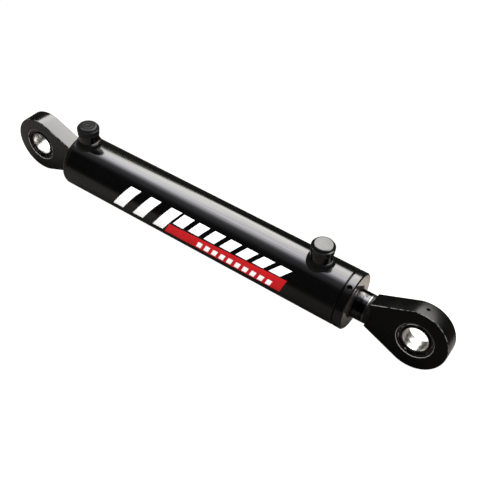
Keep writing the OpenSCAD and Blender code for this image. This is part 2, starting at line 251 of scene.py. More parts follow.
def turned_steel(name, tone, rough, lines, lay, depth, warmth=0.01, stain=0.12, metal=1.0,
                 spread=60, stained_from=None):
    """Bare steel with tool lines, whose noise is stretched by lay.

    Stains darken it by the share stain, and only where x is past stained_from if that is given.
    """
    mat, tree, shader = new_material(name, Metallic=metal)
    marks = noise(tree, placed(tree, lay), lines, 3.0, 0.65)
    blotch = noise(tree, placed(tree), spread, 4.0)
    clean = remap(tree, blotch, 0.4, 0.6, 0, 1)
    if stained_from is not None:
        x = split(tree, placed(tree))[0]
        wiped = remap(tree, x, stained_from - 6 * MM, stained_from, 0.8, 0.0)
        clean = maths(tree, "MAXIMUM", clean, wiped)
    base = mixed(tree, clean, grey(tone * (1 - stain), warmth), grey(tone, warmth))
    tree.links.new(base, shader.inputs["Base Color"])
    tree.links.new(remap(tree, marks, 0.3, 0.7, rough[0], rough[1]), shader.inputs["Roughness"])
    bumped(tree, shader, marks, depth)
    return mat


def moulded(name, low_tone, high_tone, rough, grain=700, depth=0.03 * MM, tint=(1, 1, 1), sheen=0.5):
    """Rubber or plastic with a fine moulded grain and a faintly clouded sheen."""
    mat, tree, shader = new_material(name, IOR=1.48)
    grains = noise(tree, placed(tree), grain, 3.0, 0.6)
    cloud = noise(tree, placed(tree), 45, 3.0)
    ends = [(t * tint[0], t * tint[1], t * tint[2], 1) for t in (low_tone, high_tone)]
    tree.links.new(mixed(tree, cloud, ends[0], ends[1]), shader.inputs["Base Color"])
    tree.links.new(remap(tree, grains, 0.3, 0.7, rough[0], rough[1]), shader.inputs["Roughness"])
    tree.links.new(remap(tree, cloud, 0.35, 0.65, sheen * 0.8, sheen), shader.inputs["Specular IOR Level"])
    bumped(tree, shader, grains, depth)
    return mat


def rubbed_edge(name, bare, patches, threshold):
    """An edge whose paint is rubbed through in patches, to dull bare metal."""
    mat, tree, shader = new_material(name, Metallic=0.3, IOR=1.5)
    wear = remap(tree, noise(tree, placed(tree), patches, 5.0, 0.6), threshold, threshold + 0.12, 0.0, 1.0)
    tree.links.new(mixed(tree, wear, grey(0.002), grey(bare, 0.03)), shader.inputs["Base Color"])
    tree.links.new(remap(tree, wear, 0.0, 1.0, 0.2, 0.45), shader.inputs["Roughness"])
    bumped(tree, shader, remap(tree, wear, 0.0, 1.0, 1.0, 0.0), 0.02 * MM)
    return mat


def decal_film(name, colour, worn):
    """Printed vinyl: slightly uneven ink that is thin in places, under a satin face."""
    mat, tree, shader = new_material(name, IOR=1.45)
    ink = noise(tree, placed(tree), 320, 4.0, 0.7)
    tree.links.new(mixed(tree, remap(tree, ink, 0.35, 0.7, 0, 1), worn, colour), shader.inputs["Base Color"])
    tree.links.new(remap(tree, ink, 0.3, 0.7, 0.42, 0.3), shader.inputs["Roughness"])
    bumped(tree, shader, ink, 0.01 * MM)
    return mat


ROUND_X, ROUND_Y, ROUND_Z = (1, 0.02, 0.02), (0.02, 1, 0.02), (0.02, 0.02, 1)
ON_X_FACE = (0.02, 1, 1)
TUBE_PAINT = paint("black_paint_drawn_tube", along=0.12, sheen=0.6, drawn=0.22)
PAINT = paint("black_paint", rough=(0.12, 0.2), sheen=0.55)
EYE_PAINT = paint("black_paint_burnt_plate", peel=0.025 * MM, rough=(0.14, 0.22))
# The rod eye's paint is the eye paint with a third of the sheen: painted shade that dims the light on the
# rod eye
ROD_EYE_PAINT = paint("black_paint_rod_eye_shaded_copy", peel=0.03 * MM, rough=(0.2, 0.3), sheen=0.16)
WELD = weld_paint("black_paint_on_weld", sheen=0.3)
# The rod eye's weld is the weld paint with half the sheen: painted shade that keeps it black
ROD_EYE_WELD = weld_paint("black_paint_on_rod_eye_weld_shaded_copy", sheen=0.15)
OUTER_EDGE = rubbed_edge("rubbed_outer_edge", 0.16, 110, 0.41)
BORE_EDGE = rubbed_edge("rubbed_bore_edge", 0.3, 60, 0.3)
CLIP_EDGE = rubbed_edge("rubbed_ring_edge", 0.4, 45, 0.47)
ROD_STEEL = turned_steel("nitrided_rod", 0.062, (0.05, 0.1), 5200, ROUND_X, 0.004 * MM,
                         stain=0.75, spread=190, stained_from=GLAND_X1)
FACED_STEEL = turned_steel("faced_steel", 0.42, (0.06, 0.12), 2600, ON_X_FACE, 0.004 * MM,
                           warmth=0.08, metal=0.93)
BARE_RING = turned_steel("bare_ring", 0.2, (0.2, 0.3), 2600, ROUND_X, 0.004 * MM)
BORE_STEEL = turned_steel("honed_pin_bore", 0.45, (0.26, 0.38), 3800, ROUND_Y, 0.003 * MM, warmth=0.02)
DARK_STEEL = turned_steel("phosphated_steel", 0.045, (0.3, 0.42), 2600, ROUND_Y, 0.02 * MM, warmth=0.03)
RACE_STEEL = turned_steel("race_steel", 0.11, (0.25, 0.36), 2600, ROUND_Y, 0.02 * MM, warmth=0.03)
CLIP_STEEL = turned_steel("spring_steel", 0.1, (0.28, 0.4), 1800, ROUND_Y, 0.03 * MM, warmth=0.03)
MACHINED = turned_steel("machined_steel", 0.5, (0.2, 0.32), 2400, ROUND_X, 0.02 * MM)
THREAD_STEEL = turned_steel("cut_thread", 0.4, (0.22, 0.36), 2400, ROUND_Z, 0.02 * MM)
ZINC = turned_steel("yellow_zinc", 0.45, (0.22, 0.35), 1500, ROUND_X, 0.02 * MM, warmth=0.3)
# Both caps are one plastic; the cap-end cap's copy has far less sheen, which paints shade on its top and
# dims its rim
CAP_PLASTIC = {
    "rod_end": moulded("black_plastic", 0.002, 0.004, (0.045, 0.08), 650, 0.004 * MM, sheen=0.46),
    "cap_end": moulded("black_plastic_shaded_copy", 0.005, 0.009, (0.06, 0.1), 650, 0.004 * MM, sheen=0.1),
}
NITRILE = moulded("nitrile", 0.006, 0.012, (0.4, 0.55))
POLYURETHANE = moulded("polyurethane", 0.16, 0.3, (0.35, 0.5), tint=(0.35, 0.75, 1))
WIPER_PLASTIC = moulded("wiper_polyurethane", 0.002, 0.005, (0.14, 0.22), depth=0.01 * MM)
SEAL_PLASTIC = moulded("seal_ptfe", 0.3, 0.42, (0.4, 0.5), tint=(0.95, 1, 0.8))
BACKUP_PLASTIC = moulded("backup_ptfe", 0.7, 0.8, (0.35, 0.45), tint=(1, 0.97, 0.9))
GUIDE_PLASTIC = moulded("guide_ring_phenolic", 0.12, 0.2, (0.45, 0.6), 400, 0.05 * MM, tint=(1, 0.55, 0.3))
WHITE_FILM = decal_film("white_decal", grey(0.88), grey(0.74))
RED_FILM = decal_film("red_decal", (0.5, 0.007, 0.01, 1), (0.36, 0.005, 0.008, 1))


# ---------------------------------------------------------------- mesh helpers

def arc(centre, radius, start, end, steps):
    """Points on an arc in a profile's plane, angles in degrees."""
    return [(centre[0] + radius * math.cos(a), centre[1] + radius * math.sin(a))
            for a in (math.radians(start + (end - start) * i / steps) for i in range(steps + 1))]


def eased(points, radius, steps=4, closed=True):
    """The same outline with each corner rounded; radius is one number or one per point."""
    out = []
    count = len(points)
    for i, p in enumerate(points):
        r = radius if isinstance(radius, (int, float)) else radius[i]
        if r <= 0 or (not closed and i in (0, count - 1)):
            out.append(tuple(p))
            continue
        here = Vector(p)
        before, after = Vector(points[i - 1]) - here, Vector(points[(i + 1) % count]) - here
        room = min(before.length, after.length) * 0.45
        cut = min(r, room)
        a, b = here + before.normalized() * cut, here + after.normalized() * cut
        for s in range(steps + 1):
            t = s / steps
            out.append(tuple(a * (1 - t) ** 2 + here * 2 * t * (1 - t) + b * t ** 2))
    return out


def shade(bm, sharp=32):
    """Smooth faces, with hard edges where they turn by more than sharp degrees."""
    for face in bm.faces:
        face.smooth = True
    for edge in bm.edges:
        edge.smooth = not (edge.is_manifold and edge.calc_face_angle(0) > math.radians(sharp))


def linked(name, bm, materials=()):
    """Turns a bmesh into an object in the scene."""
    mesh = bpy.data.meshes.new(name)
    bm.to_mesh(mesh)
    bm.free()
    for mat in materials:
        mesh.materials.append(mat)
    made = bpy.data.objects.new(name, mesh)
    bpy.context.scene.collection.objects.link(made)
    return made


def publish(name, bm, materials, body, stands_for=(), sharp=32):
    """Turns a bmesh into a piece that rides on a CAD body."""
    bmesh.ops.remove_doubles(bm, verts=bm.verts, dist=1e-7)
    bmesh.ops.recalc_face_normals(bm, faces=bm.faces)
    shade(bm, sharp)
    piece = linked(name, bm, materials)
    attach(piece, body)
    if stands_for:
        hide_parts(*stands_for)
    return piece


def grid(bm, rows, wrap_rows=False, wrap_points=True, material=0, capped=False):
    """Quads between rows of points that all have the same count, with a face on each end if capped."""
    made = [[bm.verts.new(p) for p in row] for row in rows]
    spans = len(made) if wrap_rows else len(made) - 1
    for i in range(spans):
        first, second = made[i], made[(i + 1) % len(made)]
        steps = len(first) if wrap_points else len(first) - 1
        for j in range(steps):
            k = (j + 1) % len(first)
            face = bm.faces.new([first[j], first[k], second[k], second[j]])
            face.material_index = material(i) if callable(material) else material
    if capped:
        bm.faces.new(made[0])
        bm.faces.new(made[-1])
    return made


def lathe(bm, profile, to_frame=AXIS_X, origin=(0, 0, 0), segments=160, closed=True, relief=None,
          material=0):
    """Turns (radius, height) points round an axis; relief(radius, height, angle) may move a point."""
    place = Matrix.Translation(origin) @ to_frame.to_4x4()
    rows = []
    for radius, height in profile:
        row = []
        for j in range(segments):
            angle = 2 * math.pi * j / segments
            r, h = relief(radius, height, angle) if relief else (radius, height)
            row.append(place @ Vector((r * math.cos(angle), r * math.sin(angle), h)))
        rows.append(row)
    grid(bm, rows, wrap_rows=closed, material=material, capped=not closed)


def drill(piece, cutters):
    """Cuts closed lathed bodies out of a piece and keeps the result as its mesh."""
    helpers = []
    for i, (profile, place) in enumerate(cutters):
        bm = bmesh.new()
        lathe(bm, profile, AXIS_Z, segments=48, closed=False)
        bmesh.ops.transform(bm, matrix=place, verts=bm.verts)
        bmesh.ops.recalc_face_normals(bm, faces=bm.faces)
        helpers.append(linked(f"cutter_{i}", bm))
        cut = piece.modifiers.new(f"cut_{i}", "BOOLEAN")
        cut.operation = "DIFFERENCE"
        cut.solver = "EXACT"
        cut.object = helpers[-1]
    bpy.context.view_layer.update()
    made = bpy.data.meshes.new_from_object(piece.evaluated_get(bpy.context.evaluated_depsgraph_get()))
    piece.modifiers.clear()
    bm = bmesh.new()
    bm.from_mesh(made)
    shade(bm)
    bm.to_mesh(piece.data)
    bm.free()
    bpy.data.meshes.remove(made)
    for helper in helpers:
        bpy.data.objects.remove(helper)


def crowned(start, end, lean, height, steps):
    """A bead's profile from start to end, swollen by height in the direction lean."""
    shares = [i / steps for i in range(steps + 1)]
    return [tuple(start[k] + (end[k] - start[k]) * t + 4 * t * (1 - t) * height * lean[k] for k in (0, 1))
            for t in shares]


def scallop(turns, bow):
    """Height, 0 to 1, of a bead's overlapping crescents at share a round it and share t across it."""
    def height(a, t):
        phase = (a * turns - bow * (2 * t - 1) ** 2) % 1.0
        return (1 - phase) ** 0.6 * min(1.0, phase * 7)
    return height


# ---------------------------------------------------------------- barrel

def build_barrel():
    """Tube with the recess for the gland's thread and the oil ways through its wall."""
    bm = bmesh.new()
    corner = 0.15 * MM
    outline = [
        (BORE_R, TUBE_X0), (CAP_RIM_R, TUBE_X0), (TUBE_R, TUBE_BEVEL_X), (TUBE_R, TUBE_X1 - JOINT_BEVEL),
        (TUBE_R - JOINT_BEVEL, TUBE_X1), (THREAD_R, TUBE_X1), (THREAD_R, THREAD_X), (BORE_R, BORE_X),
    ]
    lathe(bm, eased(outline, [0, 0, 0, corner, corner, 0, 0, 0]), segments=TUBE_SEGMENTS)
    tube = publish("barrel_tube_shell", bm, [TUBE_PAINT], "barrel", ["barrel_tube"])
    hole = [(OIL_WAY_R, 0.0), (OIL_WAY_R, TUBE_R * 1.2)]
    drill(tube, [(hole, Matrix.Translation((x, 0, 0))) for x, _ in PORTS.values()])


def build_end_cap():
    """Disc that closes the tube, with a pilot in its bore."""
    bm = bmesh.new()
    inner, pilot = high("end_cap").x, BORE_R - 0.02 * MM
    outline = [
        (CENTRE, CAP_X), (CAP_RIM_R, CAP_X), (CAP_RIM_R, TUBE_X0), (pilot, TUBE_X0),
        (pilot, inner - 1 * MM), (BORE_R - 1 * MM, inner), (CENTRE, inner),
    ]
    outline = eased(outline, [0, 0.6 * MM, 0, 0, 0, 0, 0], closed=False)
    lathe(bm, outline, segments=TUBE_SEGMENTS, closed=False)
    publish("end_cap_disc", bm, [PAINT], "barrel", ["end_cap"])


def build_end_cap_weld():
    """Groove weld dressed flush with the tube, with faint crescents left where it rolls to the cap."""
    bm = bmesh.new()
    ripple = scallop(132, 0.35)
    toe, brow = (CAP_RIM_R, CAP_X + 0.3 * MM), (TUBE_R, CAP_X + 4.5 * MM)

    def relief(radius, height, angle):
        t = (brow[1] - height) / (brow[1] - toe[1])
        if not 0.02 < t < 0.98 or radius < CAP_RIM_R + 0.05 * MM:
            return radius, height
        lift = 0.22 * MM * math.sin(math.pi * t) * ripple(angle / (2 * math.pi), t)
        return radius - 0.2 * MM * math.sin(math.pi * t) + lift, height

    root_r = CAP_RIM_R - 1.2 * MM
    outline = [(root_r, CAP_X + 1 * MM), (root_r, TUBE_X0), (CAP_RIM_R, TUBE_X0), (TUBE_R, TUBE_BEVEL_X)]
    outline += crowned(brow, toe, (0.75, -0.66), 0.9 * MM, 12)
    lathe(bm, outline, segments=792, relief=relief)
    publish("end_cap_weld_bead", bm, [WELD], "barrel", ["end_cap_weld"], sharp=50)


def build_port_boss(end, x):
    """Weld boss with a real thread cut in it, 16 turns to the inch."""
    bm = bmesh.new()
    pitch, depth = 25.4 / 16 * MM, 0.75 * MM
    step = pitch / 8
    seat_z, floor_z = BOSS_TOP - 2.5 * MM, BOSS_TOP - 16 * MM
    foot = TUBE_R - 6 * MM
    outside = eased([(OIL_WAY_R, foot), (BOSS_R, foot), (BOSS_R, BOSS_TOP), (SEAT_R, BOSS_TOP)],
                    [0, 0, 0.9 * MM, 0.3 * MM], 5, closed=False)
    wall = [(PORT_R, seat_z - i * step) for i in range(int((seat_z - floor_z) / step) + 1)]
    bottom = [(PORT_R, floor_z), (OIL_WAY_R, floor_z - 2 * MM)]
    first_wall, last_wall = len(outside), len(outside) + len(wall) - 1

    def relief(radius, height, angle):
        if abs(radius - PORT_R) > 1e-7 or height > seat_z - pitch * 0.4 or height < floor_z + pitch:
            return radius, height
        phase = ((height / pitch) + angle / (2 * math.pi)) % 1.0
        ridge = max(0.0, min(1.0, 1.5 - abs(phase - 0.5) * 4))
        return radius + depth * (1 - ridge), height

    lathe(bm, outside + wall + bottom, AXIS_Z, (x, 0, 0), 128, relief=relief,
          material=lambda i: 1 if first_wall - 1 <= i <= last_wall + 1 else 0)
    publish(f"port_boss_{end}_threaded", bm, [PAINT, THREAD_STEEL], "barrel",
            [f"port_boss_{end}"], sharp=40)


def build_port_weld(end, x):
    """Fillet bead laid round a boss on the curve of the tube, with its crescents."""
    bm = bmesh.new()
    around, across = 720, 14
    ripple = scallop(46, 0.28)
    centre, up = Vector((x, 0, 0)), Vector((0, 0, 1))
    top_z = TUBE_R + 6.2 * MM
    rows = []
    for i in range(around):
        share = i / around
        angle = 2 * math.pi * share
        out = Vector((math.cos(angle), math.sin(angle), 0))
        wander = 0.25 * MM * math.sin(3 * angle + 1) + 0.18 * MM * math.sin(7 * angle)
        reach = BOSS_R + 3.9 * MM + wander
        tube_z = math.sqrt(TUBE_R ** 2 - (reach * out.y) ** 2)
        inner = centre + out * (BOSS_R - 0.1 * MM) + up * (top_z + wander)
        outer = centre + out * reach + up * (tube_z - 0.05 * MM)
        run = outer - inner
        normal = Vector((-run.z * out.x, -run.z * out.y, run.dot(out))).normalized()
        row = []
        for j in range(across + 1):
            t = j / across
            lift = math.sin(math.pi * t) * (0.75 * MM + 0.55 * MM * ripple(share, t))
            row.append(inner + run * t + normal * lift)
        root = centre + out * (BOSS_R - 1.5 * MM)
        row.append(outer - up * 1.2 * MM - out * 1.5 * MM)
        row.append(root + up * (tube_z - 2.5 * MM))
        row.append(root + up * (top_z - 1.5 * MM))
        rows.append(row)
    grid(bm, rows, wrap_rows=True)
    publish(f"port_weld_{end}_bead", bm, [WELD], "barrel", [f"port_weld_{end}"], sharp=55)


def build_dust_cap(end, x, body):
    """Push-on plastic cap: a top with a ring groove and a gate mark, a domed shoulder, a lip and a bead."""
    bm = bmesh.new()
    inner_r, ceiling = BOSS_R + 0.06 * MM, BOSS_TOP + 0.2 * MM
    skirt_r, lip_r, top = CAP_R - 0.25 * MM, CAP_R + 0.3 * MM, CAP_Z1
    inside = [(CENTRE, top - 1.8 * MM), (SEAT_R, top - 1.8 * MM), (SEAT_R + 2.2 * MM, ceiling),
              (inner_r, ceiling), (inner_r, CAP_Z0)]
    bead = arc((skirt_r, CAP_Z0 + 0.25 * MM), 0.25 * MM, -90, 0, 3)
    bead += [(CAP_R, CAP_Z0 + 1.2 * MM), (skirt_r, CAP_Z0 + 1.8 * MM)]
    lip = [(skirt_r, top - 7.6 * MM), (CAP_R, top - 7.3 * MM), (lip_r, top - 7.0 * MM)]
    lip += arc((lip_r - 0.15 * MM, top - 4.1 * MM), 0.15 * MM, 0, 90, 4)
    shoulder = [(CAP_R + out * MM, top - down * MM) for out, down in (
        (0.05, 3.85), (-0.8, 3.3), (-1.1, 2.3), (-1.7, 1.3), (-2.5, 0.6), (-3.2, 0.2), (-3.9, 0.02))]
    rim = [(r * MM, top) for r in (10.6, 10.3, 6.9, 6.7)]
    groove = [(6.4 * MM, top - 0.05 * MM)]
    middle = [(r * MM, top) for r in (6.1, 5.9, 2.5, 2.2)]
    gate_mark = [(r * MM, top - 0.1 * MM) for r in (1.9, 1.7, 0.01)]
    outline = inside + bead + lip + shoulder + rim + groove + middle + gate_mark
    lathe(bm, outline, AXIS_Z, (x, 0, 0), 144, closed=False)
    publish(f"dust_cap_{end}_moulded", bm, [CAP_PLASTIC[end]], body, [f"dust_cap_{end}"],
            sharp=24)


def build_gland():
    """Screwed head: the collar with its turned face and spanner holes, and the wiper's bore."""
    bm = bmesh.new()
    nose_x = low("gland").x
    nose_r, pilot_r, thread_r = BORE_R - 5.75 * MM, BORE_R - 0.03 * MM, THREAD_R - 0.05 * MM
    bore, mouth, mouth_x = ROD_R + 0.4 * MM, ROD_R + 3.1 * MM, GLAND_X1 - 2 * MM
    bevel, corner = 1.6 * MM, 0.15 * MM
    outline = [
        (bore, nose_x), (nose_r, nose_x), (nose_r, nose_x + 33 * MM), (pilot_r, nose_x + 35 * MM),
        (pilot_r, BORE_X), (thread_r, THREAD_X), (thread_r, TUBE_X1), (TUBE_R - JOINT_BEVEL, TUBE_X1),
        (TUBE_R, TUBE_X1 + JOINT_BEVEL), (TUBE_R, GLAND_X1 - bevel), (TUBE_R - bevel, GLAND_X1),
        (mouth, GLAND_X1), (mouth, mouth_x), (bore, mouth_x),
    ]
    profile = eased(outline, [0, 0, 0, 0, 0, 0, 0, corner, corner, corner, corner, 0.4 * MM, 0, 0], 3)

    def faced(i):
        following = profile[(i + 1) % len(profile)]
        return 1 if min(profile[i][1], following[1]) > GLAND_X1 - 0.1 * MM else 0

    lathe(bm, profile, segments=TUBE_SEGMENTS, material=faced)
    gland = publish("gland_head", bm, [PAINT, FACED_STEEL], "barrel", ["gland"])
    hole = [(SPANNER_R, TUBE_R - 6 * MM), (SPANNER_R, TUBE_R - 0.3 * MM),
            (SPANNER_R + 1.2 * MM, TUBE_R + 0.9 * MM)]
    cutters = []
    for i in range(SPANNER_HOLES):
        turn = SPANNER_TURN + 2 * math.pi * i / SPANNER_HOLES
        cutters.append((hole, Matrix.Translation((SPANNER_X, 0, 0)) @ Matrix.Rotation(turn, 4, "X")))
    drill(gland, cutters)


def build_wiper():
    """Wiper whose lip stands just out of the gland's face."""
    bm = bmesh.new()
    back, lip = low("wiper").x, high("wiper").x
    inner, outer, flange = ROD_R + 0.04 * MM, ROD_R + 3.05 * MM, ROD_R + 5.45 * MM
    outline = [(inner + 0.5 * MM, back), (flange, back), (flange, back + 4.3 * MM), (outer, back + 4.3 * MM),
               (outer, GLAND_X1 - 0.4 * MM), (inner + 1.3 * MM, lip), (inner, lip), (inner, GLAND_X1),
               (inner + 0.5 * MM, GLAND_X1 - 1 * MM)]
    lathe(bm, eased(outline, 0.3 * MM))
    publish("wiper_ring", bm, [WIPER_PLASTIC], "barrel", ["wiper"])


# ---------------------------------------------------------------- eyes

def flank_angle(reach):
    """Where a flank leaves the round end, turned from the cylinder's axis."""
    return math.atan2(EYE_ROOT, reach) + math.acos(EYE_R / math.hypot(EYE_ROOT, reach))


def eye_outline(reach, inset, round_steps=96, flank_steps=12, root_steps=6):
    """Teardrop in (along, up) points, from the upper root corner round the nose, inset from its edge."""
    radius = EYE_R - inset
    flank = flank_angle(reach)
    corner = (radius - reach * math.cos(flank)) / math.sin(flank)
    round_end = arc((0, 0), radius, math.degrees(flank), 360 - math.degrees(flank), round_steps)
    top, bottom = Vector((reach, corner)), Vector((reach, -corner))
    start, end = Vector(round_end[0]), Vector(round_end[-1])
    flank_in = [tuple(top.lerp(start, i / flank_steps)) for i in range(flank_steps)]
    flank_out = [tuple(end.lerp(bottom, i / flank_steps)) for i in range(1, flank_steps + 1)]
    root = [tuple(bottom.lerp(top, i / root_steps)) for i in range(1, root_steps)]
    return flank_in + round_end + flank_out + root


def build_eye(name, node, place, body, reach, paintwork, grease):
    """Flame-cut eye plate: rounded edges, a rolled housing bore and the grooves of its retaining rings."""
    bm = bmesh.new()
    angles = [math.atan2(p[1], p[0]) for p in eye_outline(reach, 0)]
    edge, mouth, half = 1.5 * MM, 1.3 * MM, EYE_T / 2
    groove_r, shoulder = CLIP_R + 0.05 * MM, CLIP_T / 2 + 0.05 * MM
    steps = 6
    turns = [math.radians(90 * i / steps) for i in range(steps + 1)]
    rim = [(edge * (1 - math.cos(a)), half - edge * (1 - math.sin(a))) for a in turns]
    bore = [(RACE_R + 3.2 * MM, half)]
    bore += [(RACE_R + mouth * (1 - math.sin(a)), half - mouth * (1 - math.cos(a))) for a in turns]
    bore += [(RACE_R, CLIP_Y + shoulder), (groove_r, CLIP_Y + shoulder),
             (groove_r, CLIP_Y - shoulder), (RACE_R, CLIP_Y - shoulder)]

    def outline(inset, y):
        return [place @ Vector((p[0], y, p[1])) for p in eye_outline(reach, inset)]

    def ring(radius, y):
        return [place @ Vector((radius * math.cos(a), y, radius * math.sin(a))) for a in angles]

    # from the edge of the -Y side over its face and through the bore to the +Y face and its edge
    rows = [outline(inset, -y) for inset, y in rim] + [ring(r, -y) for r, y in bore]
    rows += [ring(r, y) for r, y in reversed(bore)] + [outline(inset, y) for inset, y in reversed(rim)]
    # worn spans between rows, counted from either side: the middle of the outer edge and of the mouth
    rubbed = {2: 1, 3: 1, len(rim) + 3: 2, len(rim) + 4: 2, len(rim) + 5: 2}

    def surface(i):
        return rubbed.get(min(i, len(rows) - 2 - i), 0)

    grid(bm, rows, wrap_rows=True, material=surface)
    eye = publish(name, bm, [paintwork, OUTER_EDGE, BORE_EDGE], body, [node])
    if grease:
        hole = [(GREASE_R, RACE_R * 0.9), (GREASE_R, EYE_R - 0.5 * MM),
                (GREASE_R + 0.9 * MM, EYE_R + 0.4 * MM)]
        drill(eye, [(hole, place)])


def build_race(name, node, place, body):
    """Outer race of the spherical bearing, with its hollow seat."""
    bm = bmesh.new()
    half, bevel = RACE_W / 2, 0.6 * MM
    outer_r, face_r, gap_r = RACE_R - 0.02 * MM, RACE_R - bevel, SPHERE_R + 0.04 * MM
    mouth = math.degrees(math.asin(half / gap_r))
    outline = [(face_r, -half), (outer_r, -half + bevel), (outer_r, half - bevel), (face_r, half)]
    outline += arc((0, 0), gap_r, mouth, -mouth, 20)
    lathe(bm, outline, AXIS_Y)
    bmesh.ops.transform(bm, matrix=place, verts=bm.verts)
    publish(name, bm, [RACE_STEEL], body, [node])


def build_ball(name, node, place, body):
    """Ball of the spherical bearing: dark faces and sphere, and a honed bore with its grease groove."""
    bm = bmesh.new()
    half = BALL_W / 2
    face_r = math.sqrt(SPHERE_R ** 2 - half ** 2) - 0.35 * MM
    rim = math.degrees(math.asin(half / SPHERE_R)) - 1.2
    mouth_r, mouth = PIN_R + 0.9 * MM, half - 0.8 * MM
    groove_r, groove, groove_floor = PIN_R + 0.4 * MM, 0.6 * MM, 0.45 * MM
    bore = eased([(mouth_r, -half), (PIN_R, -mouth), (PIN_R, -groove), (groove_r, -groove_floor),
                  (groove_r, groove_floor), (PIN_R, groove), (PIN_R, mouth), (mouth_r, half)],
                 0.15 * MM, 3, closed=False)
    sphere = arc((0, 0), SPHERE_R, rim, -rim, 28)
    lathe(bm, bore + [(face_r, half)] + sphere + [(face_r, -half)], AXIS_Y,
          material=lambda i: 0 if i < len(bore) - 1 else 1)
    bmesh.ops.transform(bm, matrix=place, verts=bm.verts)
    publish(name, bm, [BORE_STEEL, DARK_STEEL], body, [node])


def build_clips(name, node, place, body):
    """Two internal retaining rings, each open at the bottom between two eyelets."""
    bm = bmesh.new()
    gap = math.radians(11)
    inner_r = SPHERE_R - 0.3 * MM
    rubbed_r = inner_r + 0.8 * MM
    round_r, half = 0.2 * MM, CLIP_T / 2
    eyelet, eyelet_share = 1.2 * MM, 0.022
    steps = 120
    for side in (-1, 1):
        rows = []
        for i in range(steps + 1):
            angle = -math.pi / 2 + gap + (2 * math.pi - 2 * gap) * i / steps
            away = min(i, steps - i) / steps
            bulge = max(0.0, 1 - (away / eyelet_share - 1) ** 2) * eyelet
            lower = [(inner_r - bulge, -half), (rubbed_r, -half), (CLIP_R, -half)]
            section = eased(lower + [(r, -y) for r, y in reversed(lower)],
                            [round_r, 0, round_r, round_r, 0, round_r], 2)
            rows.append([place @ Vector((r * math.cos(angle), side * CLIP_Y + y, r * math.sin(angle)))
                         for r, y in section])
        grid(bm, rows, capped=True)
    to_place = place.inverted()
    for face in bm.faces:
        middle = to_place @ face.calc_center_median()
        if math.hypot(middle.x, middle.z) < rubbed_r and abs(middle.y) > CLIP_Y + 0.3 * CLIP_T:
            face.material_index = 1
    publish(name, bm, [CLIP_STEEL, CLIP_EDGE], body, [node])


def build_cap_eye_weld():
    """Fillet bead all round the eye plate's root on the end cap's face."""
    bm = bmesh.new()
    leg = 7.4 * MM
    corners = [Vector((y, z)) for y, z in ((EYE_T / 2, -EYE_ROOT), (EYE_T / 2, EYE_ROOT),
                                           (-EYE_T / 2, EYE_ROOT), (-EYE_T / 2, -EYE_ROOT))]
    sides = [corners[(k + 1) % 4] - corners[k] for k in range(4)]
    normals = [Vector((side.y, -side.x)).normalized() for side in sides]
    per_side, per_corner, across = (90, 70, 90, 70), 12, 10
    ripple = scallop(52, 0.3)
    path = []
    for k in range(4):
        for s in range(per_corner):
            path.append((corners[k], normals[k - 1].lerp(normals[k], s / per_corner).normalized()))
        for s in range(per_side[k]):
            path.append((corners[k].lerp(corners[(k + 1) % 4], s / per_side[k]), normals[k]))
    rows = []
    for i, (foot, out) in enumerate(path):
        share = i / len(path)
        wander = 1 + 0.05 * math.sin(11 * 2 * math.pi * share)
        wall = Vector((CAP_X - leg * wander, foot.x - out.x * 0.2 * MM, foot.y - out.y * 0.2 * MM))
        toe = Vector((CAP_X + 0.05 * MM, foot.x + out.x * leg * wander, foot.y + out.y * leg * wander))
        if abs(out.y) > 0.5:  # on the flanks, which spread as they leave the root
            wall.z += leg * wander / math.tan(flank_angle(CAP_EYE_REACH)) * out.y
        run = toe - wall
        normal = Vector((-1, out.x, out.y)).normalized()
        row = []
        for j in range(across + 1):
            t = j / across
            lift = math.sin(math.pi * t) * (0.35 * MM + 0.5 * MM * ripple(share, t))
            row.append(wall + run * t + normal * lift)
        inward = Vector((0, -out.x, -out.y))
        sunk_x = CAP_X + 0.6 * MM
        row.append(Vector((sunk_x, toe.y, toe.z)) + inward * 1 * MM)
        row.append(Vector((sunk_x, foot.x, foot.y)) + inward * 1.5 * MM)
        row.append(Vector((wall.x + 1 * MM, wall.y, wall.z)) + inward * 1.5 * MM)
        rows.append(row)
    grid(bm, rows, wrap_rows=True)
    publish("cap_eye_weld_bead", bm, [WELD], "barrel", ["cap_eye_weld"], sharp=55)


# ---------------------------------------------------------------- rod

def build_rod():
    """Rod with the spigot that carries the piston, and a groove before its weld bevel."""
    bm = bmesh.new()
    shoulder = high("piston").x
    spigot_r, groove_r = 12.68 * MM, ROD_R - 0.3 * MM
    outline = [
        (CENTRE, ROD_TIP), (spigot_r, ROD_TIP), (spigot_r, shoulder), (ROD_R, shoulder),
        (ROD_R, ROD_END - 5.2 * MM), (groove_r, ROD_END - 4.9 * MM), (groove_r, ROD_END - 4.5 * MM),
        (ROD_R, ROD_END - 4.2 * MM), (ROD_R, ROD_END - ROD_BEVEL), (ROD_R - ROD_BEVEL, ROD_END),
        (CENTRE, ROD_END),
    ]
    profile = eased(outline, [0, 1 * MM, 0, 1 * MM, 0, 0, 0, 0, 0, 0, 0], closed=False)

    def surface(i):
        return 1 if i < len(profile) - 1 and profile[i][1] > ROD_END - 4.3 * MM else 0

    lathe(bm, profile, closed=False, material=surface)
    publish("piston_rod_bar", bm, [ROD_STEEL, BARE_RING], "rod", ["piston_rod"])


